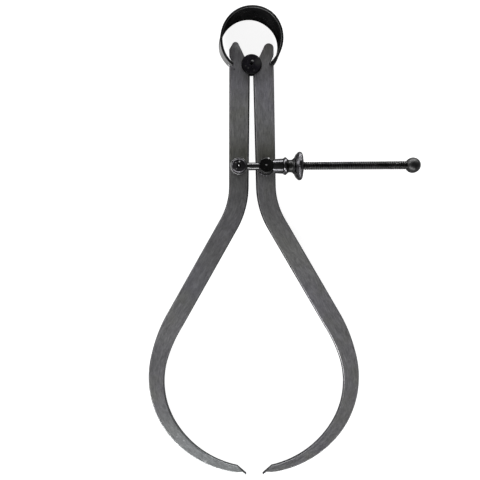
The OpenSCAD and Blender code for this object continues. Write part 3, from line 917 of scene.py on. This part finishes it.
# Bow spring: a rounded strip carried round an open ring. Its width grows with height above its ends,
# its rear rim leans to the left, and a slot across its ends straddles the legs.
springShape = {
    "centreY": 11.59,
    "outerRadius": 15.25,
    "thickness": 1.15,
    "gapAngle": 38.0,  # half of the angle between the two ends
    "endWidth": 6.8,
    "crownWidth": 14.2,
    "growBelow": 1.0,  # the width grows from this far below the ends
    "fullHeight": 11.5,  # above the centre, where the strip is at its full width
    "round": 0.22,  # radius of the strip's long edges
    "roundPoints": 6,
    "slotHeight": 1.6,
    "slotGap": 0.12,
    "slotReach": 30,  # of the block that cuts the slot, to each side
    "leanAll": -0.4,  # shift of the ring to the left, and its front rim back to the right
    "leanPerWidth": 0.11,
    "leanBelow": 2.0,  # the lean starts this far below the slot's top
    "leanFull": 8.0,  # and is complete this far above its start
    "columns": 180,
    # painted highlight: a thin light line along the inner corner of the front edge, and a sheen on the
    # outer wall at the lower left
    "sheenLine": 0.13,
    "sheenFrom": 0.1,  # least distance from the middle of the corner's round
    "sheenBelow": 0.9,  # how far below the front edge the painted sheen on the wall starts
    "sheenWall": (188.0, 244.0),  # angles about the centre
    "sheenSoft": 14.0,
    "sheenLevels": (0.7, 0.5),  # at the first and the last angle
}


# Half of the strip's width, from the height above the ring's centre: it grows evenly up to the full height.
def stripHalf(shape, above):
    low = -shape["outerRadius"] * math.sin(math.radians(90 - shape["gapAngle"])) - shape["growBelow"]
    grow = riseOver(above, low, shape["fullHeight"] - low)
    return (shape["endWidth"] + (shape["crownWidth"] - shape["endWidth"]) * grow) / 2


# How far a point shifts sideways, from its y and its distance in front of the strip's middle.
def stripLean(shape, y, forward):
    lift = riseOver(y, shape["slotHeight"] - shape["leanBelow"], shape["leanFull"])
    return lift * (shape["leanAll"] + shape["leanPerWidth"] * forward)


def bowStrip(shape):
    outer = shape["outerRadius"]
    innerRadius = outer - shape["thickness"]
    endAngle = math.radians(90 - shape["gapAngle"])
    angle = np.linspace(-endAngle, math.pi + endAngle, shape["columns"])[:, None]
    corner, steps = shape["round"], shape["roundPoints"]
    # the section, one rounded corner after another: radius, side of the middle, offset from the full width
    outward = np.repeat([1, 1, -1, -1], steps)
    side = np.repeat([1, -1, -1, 1], steps)
    turn = math.pi / 2 * (1 - np.repeat(np.arange(4), steps) - np.tile(np.linspace(0, 1, steps), 4))
    radius = np.where(outward > 0, outer - corner, innerRadius + corner) + corner * np.cos(turn)
    offset = corner * (np.sin(turn) - side)
    # one more row on the outer wall, where its painted sheen starts
    radius = np.insert(radius, steps, outer)
    side = np.insert(side, steps, 1)
    offset = np.insert(offset, steps, -shape["sheenBelow"])
    forward = stripHalf(shape, (outer + innerRadius) / 2 * np.sin(angle)) * side + offset
    x, y = radius * np.cos(angle), shape["centreY"] + radius * np.sin(angle)
    x = x + stripLean(shape, y, forward)
    piece = carriedSection("bowStrip", np.stack([x, y, forward + legMiddle / mm + 0 * x], -1) * mm)
    reach, gap = shape["slotReach"] * mm, shape["slotGap"] * mm
    slotLow, slotHigh = (-reach, -reach, legBack - gap), (reach, shape["slotHeight"] * mm, legFront + gap)
    cutAway(piece, blockCutter(slotLow, slotHigh))
    paintSheenOnSpring(piece, shape)
    return piece


# Where a painted highlight lies on the spring: a thin line along the inner corner of its front edge, and a
# sheen on its outer wall at the lower left. The lean is taken off again to find each point's radius, angle
# and distance below the edge.
def paintSheenOnSpring(piece, shape):
    x, y, z = (meshPoints(piece) / mm).T
    forward = z - legMiddle / mm
    x = x - stripLean(shape, y, forward)
    up = y - shape["centreY"]
    radius = np.hypot(x, up)
    angle = np.degrees(np.arctan2(up, x)) % 360
    inner = shape["outerRadius"] - shape["thickness"]
    below = stripHalf(shape, (inner + shape["thickness"] / 2) * up / radius) - forward
    out = radius - inner
    corner, slack = shape["round"], 0.01
    fromCorner = np.hypot(corner - below, corner - out)
    onCorner = (below < corner - slack) & (out < corner - slack) & (fromCorner > shape["sheenFrom"])
    first, last = shape["sheenWall"]
    soft = shape["sheenSoft"]
    fade = riseOver(angle, first - soft, soft) * riseOver(angle, last, -soft)
    onWall = (out > shape["thickness"] - slack) & (below > shape["sheenBelow"] - slack)
    level = np.interp(angle, shape["sheenWall"], shape["sheenLevels"])
    attribute = piece.data.attributes.new("paintedSheen", "FLOAT", "POINT")
    attribute.data.foreach_set("value", np.maximum(onCorner * shape["sheenLine"], onWall * fade * level))


finishBlack(bowStrip(springShape), "springBlack", "bow", "bow_spring")
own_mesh(bpy.data.objects["bowStrip"])
print("bow spring made")


# Turned pieces. A corner is (radius, height above the rear, fillet), in millimetres.
spoolCorners = [
    (0.0, 0.5, 0.0), (0.45, 0.45, 0.1), (0.75, 0.0, 0.1), (3.6, 0.0, 0.3), (4.0, 0.45, 0.2),
    (4.0, 1.6, 0.12), (3.0, 1.6, 0.1), (3.0, 4.9, 0.1), (4.5, 4.9, 0.3), (5.08, 5.9, 0.5),
    (4.6, 6.7, 0.5), (2.6, 6.8, 4.0), (0.75, 6.78, 0.12), (0.4, 6.25, 0.1), (0.0, 6.1, 0.0),
]
pivotCorners = [
    (0.0, 0.15, 0.0), (2.0, 0.15, 0.4), (2.6, 0.7, 0.1), (1.9, 0.75, 0.05), (1.9, 4.8, 0.05),
    (2.2, 4.85, 0.05), (2.2, 10.6, 0.05), (3.4, 10.6, 0.1), (3.4, 11.85, 0.25), (2.95, 12.28, 0.35),
    (1.6, 12.3, 2.0), (0.62, 12.26, 0.1), (0.5, 11.85, 0.08), (0.4, 11.85, 0.05), (0.34, 12.14, 0.15),
    (0.0, 12.28, 0.0),
]
flatRings = {  # bore and outer radius, lower and upper face, fillet, node, body, look
    "collar": (2.21, 3.8, 4.85, 6.70, 0.15, "left_collar", "left_arm", "postBlack"),
    "leftWasher": (1.91, 3.5, 0.75, 1.65, 0.15, "left_washer", "left_arm", "postBlack"),
    "rightWasher": (1.91, 3.5, 0.70, 1.60, 0.15, "right_washer", "swivel", "blackOxide"),
    "seatRing": (1.98, 4.1, 4.85, 5.25, 0.14, "swivel_ring", "right_arm", "blackOxide"),
}
spool = turned("fulcrumSpool", spoolCorners, (0, 0, 0), "z", pointsPerArc=5)
finishBlack(spool, "headBlack", "fulcrum", "fulcrum_stud")
pivotHead = turned("pivotHead", pivotCorners, leftPivot, "z", steps=72, pointsPerArc=5)
finishBlack(pivotHead, "pivotBlack", "left_arm", "left_pivot_stud")
for name, (bore, outer, low, high, fillet, nodeName, body, look) in flatRings.items():
    small = fillet / 3
    corners = [(bore, low, small), (outer, low, fillet), (outer, high, fillet), (bore, high, small)]
    place = leftPivot if body == "left_arm" else rightPivot
    ring = turned(name, corners, place, "z", steps=72, pointsPerArc=4)
    finishBlack(ring, look, body, nodeName)
print("studs and rings made")


# Swivel post: turned, with a flat where its radius is cut off at a constant x, and a cross hole.
postShape = {
    "corners": [
        (0.0, 0.10, 0.0), (2.0, 0.10, 0.4), (2.6, 0.65, 0.1), (1.9, 0.70, 0.05), (1.9, 5.3, 0.05),
        (3.7, 5.3, 0.1), (3.7, 12.0, 0.25), (3.3, 12.42, 0.3), (1.2, 12.45, 2.0), (0.42, 12.43, 0.1),
        (0.2, 12.15, 0.05), (0.0, 12.1, 0.0),
    ],
    "flat": 3.2,
    "flatAbove": 5.2,
    "bore": 2.03,
    "boreReach": 6,
}


def swivelPost(shape):
    def cutFlat(radius, height, angle):
        reach = shape["flat"] * mm / np.maximum(np.cos(angle), 1e-3)
        onFlat = (np.cos(angle) > 0) & (height > shape["flatAbove"] * mm)
        return np.where(onFlat, np.minimum(radius, reach) - radius, 0)

    piece = turned("postBody", shape["corners"], rightPivot, "z", steps=144, bump=cutFlat, pointsPerArc=5)
    postCentre = (pivotX, pivotY, screwHeight)
    cutAway(piece, roundCutter(shape["bore"], shape["boreReach"], postCentre, "x", steps=64))
    return piece


finishBlack(swivelPost(postShape), "postBlack", "swivel", "swivel_post")


# Nut and sleeve, turned about the screw. A corner is (radius, distance from the piece's nose, fillet).
sleeveCorners = [(2.03, 0.0, 0.1), (3.3, 0.0, 0.2), (3.65, 5.0, 0.25), (2.03, 5.0, 0.1)]
nutShape = {
    "nose": [(2.03, 9.8, 0.1), (2.03, 0.0, 0.1), (3.8, 0.0, 0.2), (4.25, 0.75, 0.3), (4.25, 1.25, 0.15)],
    "waist": [(3.0, 2.5, 0.9), (3.0, 4.1, 1.2), (4.05, 5.25, 0.8), (5.4, 5.85, 0.4)],
    "rim": (5.55, 7.85, 1.3),  # centre's radius and distance, rounding
    "rimAngles": (-45.0, 90.0, 17),  # first and last angle of the rounding, and points
    "end": [(2.75, 9.7, 0.15)],
    "knurlTeeth": 78,
    "knurlDepth": 0.06,
    "knurlFrom": 6.1,
    "knurlFade": 0.5,
}


# The knurl adds depth * (|cos(half the teeth * angle)| - 1) to the radius on the outer part of the rim.
def nutBody(shape):
    def knurl(radius, height, angle):
        fade = riseOver(radius / mm, shape["knurlFrom"], shape["knurlFade"])
        return fade * shape["knurlDepth"] * mm * (np.abs(np.cos(angle * shape["knurlTeeth"] / 2)) - 1)

    radius, distance, rounding = shape["rim"]
    first, last, count = shape["rimAngles"]
    turn = np.radians(np.linspace(first, last, count))
    rim = [(radius + rounding * math.cos(t), distance + rounding * math.sin(t), 0) for t in turn]
    corners = shape["nose"] + shape["waist"] + rim + shape["end"]
    nose = (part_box("adjusting_nut")[0][0], pivotY, screwHeight)
    return turned("nutBody", corners, nose, "x", steps=624, bump=knurl, pointsPerArc=4, split=0.6)


sleeveNose = (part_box("nut_sleeve")[0][0], pivotY, screwHeight)
sleeve = turned("sleeveCone", sleeveCorners, sleeveNose, "x", split=0.5)
finishBlack(sleeve, "sleeveBlack", "swivel", "nut_sleeve")
finishBlack(nutBody(nutShape), "nutBlack", "nut", "adjusting_nut")
print("post, sleeve and nut made")


# Ball: the arc of a circle from the flat that the thread meets to a small facet on the end.
ballShape = {"radius": 3.7, "neckRadius": 1.95, "facet": 0.35, "points": 40}
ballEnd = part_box("ball_end")[1][0]


def ballKnob(shape):
    radius = shape["radius"]
    start = math.pi - math.asin(shape["neckRadius"] / radius)
    turn = np.linspace(start, math.asin(shape["facet"] / radius), shape["points"])
    arc = [(radius * math.sin(t), radius * math.cos(t), 0) for t in turn]
    corners = [(0, arc[0][1], 0), *arc, (0, arc[-1][1], 0)]
    return turned("ballKnob", corners, (ballEnd - radius * mm, pivotY, screwHeight), "x")


finishBlack(ballKnob(ballShape), "ballBlack", "screw", "ball_end")


# Screw: a plain rod, then a helical thread. Radius = root + depth * crest(x / pitch - angle / turn),
# where crest is a triangle wave with its top and bottom cut flat.
screwShape = {
    "pitch": 1.058,
    "rodRadius": 1.85,
    "rodStart": 2.9,  # from the eye's centre, inside the wall of the eye
    "rodMiddle": 6.0,
    "threadStart": 10.9,
    "runIn": 2.0,  # pitches over which the groove deepens
    "inBall": 0.05,
    "crestRadius": 2.0,
    "depth": 0.6,
    "grooveShare": 0.55,  # share of the pitch that the groove takes
    "wear": 0.02,
    "wearWaves": (1.7, 2, 0.37),  # along the thread, round it, and how these shift along it
    "shoulder": 0.3,  # from the plain rod's end to the thread
    "rowsPerPitch": 14,
    "columns": 40,
    "eye": [(2.25, -1.9, 0.15), (4.1, -1.9, 0.12), (4.1, 1.9, 0.4), (2.25, 1.9, 0.15)],
}


def screwShaft(shape, ball):
    eyeX = -pivotX / mm
    neck = math.cos(math.asin(ball["neckRadius"] / ball["radius"]))
    endX = ballEnd / mm - ball["radius"] * (1 + neck) + shape["inBall"]
    startX = eyeX + shape["threadStart"]
    pitch = shape["pitch"]
    rod = np.array([eyeX + shape["rodStart"], eyeX + shape["rodMiddle"], startX - shape["shoulder"]])
    x = np.concatenate([rod, np.arange(startX, endX, pitch / shape["rowsPerPitch"])])[:, None]
    angle = np.arange(shape["columns"]) / shape["columns"] * 2 * math.pi
    phase = (x / pitch - angle / (2 * math.pi)) % 1
    crest = riseOver(1 - 2 * np.abs(phase - 0.5), 0, shape["grooveShare"])
    runIn = riseOver(x, startX, shape["runIn"] * pitch)
    alongWave, roundWave, shift = shape["wearWaves"]
    wear = shape["wear"] * np.sin(x * alongWave) * np.sin(angle * roundWave + x * shift)
    cut = shape["crestRadius"] + wear - runIn * shape["depth"] * (1 - crest)
    radius = np.where(x < startX, shape["rodRadius"], cut)
    points = np.stack([x + 0 * angle, radius * np.cos(angle), radius * np.sin(angle)], -1) * mm
    return carriedSection("screwShaft", points + np.array([0, pivotY, screwHeight]))


finishBlack(screwShaft(screwShape, ballShape), "threadBlack", "screw", "adjusting_screw")
eyePlace = (-pivotX, pivotY, screwHeight)
eye = turned("screwEye", screwShape["eye"], eyePlace, "z", pointsPerArc=5)
finishBlack(eye, "rubbedEyePaintedLight", "screw", "adjusting_screw")
print("screw made")


# Floor, light and surroundings
roomPlan = {
    "floorSize": 3.0,
    "floorClear": 0.02 * mm,
    "floorSeen": (0.89, 0.89, 0.89),  # glow of the lit floor, over which a faint shadow still shows
    "skySeen": (0.99, 0.99, 0.99),  # what the camera sees beyond the floor
    "floorMirrored": (0.1, 0.1, 0.1),
    "floorTint": (0.42, 0.42, 0.42),
    "springRim": (23.1 * mm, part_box("bow_spring")[0][2]),  # where the spring's rear rim rests
    "tipBack": (-196 * mm, legBack + 0.5 * mm),
    "skyStops": [(0.0, 0.6), (0.12, 0.8), (0.35, 0.6), (0.55, 0.2), (0.8, 0.1), (1.0, 0.09)],
    "skyTilt": (-0.25, -0.6, 0.75),  # towards where the sky is lighter
    "tiltBand": (0.55, 1.0),
    "skyGain": 0.12,
    "skySides": (0.0, 0.8, 0.35, 1.0),  # the sky is darker to the left and right than up and down
}
softLights = {  # place, width, height and power
    "upperLight": ((0.0, 0.9, 0.22), 1.7, 0.24, 17.0),
    "lowerLight": ((-0.34, -0.94, 0.42), 1.8, 0.24, 15.5),
    "leftLight": ((-0.9, 0.4, 0.2), 0.5, 0.24, 2.0),
}


# The floor glows for the camera as an evenly lit sheet does, and stays dull in the steel's reflections.
def makeFloor(plan):
    (rimY, rimZ), (tipY, tipZ) = plan["springRim"], plan["tipBack"]
    half = plan["floorSize"] / 2
    corners = np.array([[-half, -half], [half, -half], [half, half], [-half, half]])
    heights = rimZ + (corners[:, 1] - rimY) * (tipZ - rimZ) / (tipY - rimY) - plan["floorClear"]
    floor = makeMesh("floor", np.column_stack([corners, heights]), [[0, 1, 2, 3]])
    material, tree, shader = newMaterial("paleFloor")
    glow = mixColour(tree, seenDirectly(tree), plan["floorMirrored"], plan["floorSeen"])
    setInputs(tree, shader, Base_Color=plan["floorTint"], Roughness=0.9, Specular_IOR_Level=0.1,
              Emission_Color=glow, Emission_Strength=1.0)
    floor.data.materials.append(material)


def addSoftLight(name, place, width, height, power):
    data = bpy.data.lights.new(name, "AREA")
    data.shape = "RECTANGLE"
    data.size = width
    data.size_y = height
    data.energy = power
    lamp = bpy.data.objects.new(name, data)
    bpy.context.scene.collection.objects.link(lamp)
    lamp.location = place
    lamp.rotation_euler = (-lamp.location).to_track_quat("-Z", "Y").to_euler()


# The surroundings are lighter near the horizon and dark overhead, a little lighter to one side.
def makeWorld(plan):
    world = bpy.data.worlds.new("lightTent")
    bpy.context.scene.world = world
    world.use_nodes = True
    tree = world.node_tree
    direction = tree.nodes.new("ShaderNodeTexCoord").outputs["Generated"]
    parts = splitVector(tree, direction)
    ramp = rampColour(tree, parts["Z"], [(place, (level,) * 3) for place, level in plan["skyStops"]])
    sides = remap(tree, mathNode(tree, "ABSOLUTE", parts["Y"]), *plan["skySides"])
    overhead = times(tree, parts["Z"], parts["Z"])
    glow = vectorNode(tree, "MULTIPLY", ramp, mathNode(tree, "MAXIMUM", sides, overhead))
    tilt = vectorNode(tree, "DOT_PRODUCT", direction, Vector(plan["skyTilt"]).normalized())
    total = vectorNode(tree, "ADD", glow, remap(tree, tilt, *plan["tiltBand"], 0.0, plan["skyGain"]))
    shown = mixColour(tree, seenDirectly(tree), total, plan["skySeen"])
    setInputs(tree, tree.nodes["Background"], Color=shown, Strength=1.0)


makeFloor(roomPlan)
makeWorld(roomPlan)
for name, (place, width, height, power) in softLights.items():
    addSoftLight(name, place, width, height, power)
view = bpy.context.scene.view_settings
view.view_transform = "Standard"
view.look = "None"
print("room made")
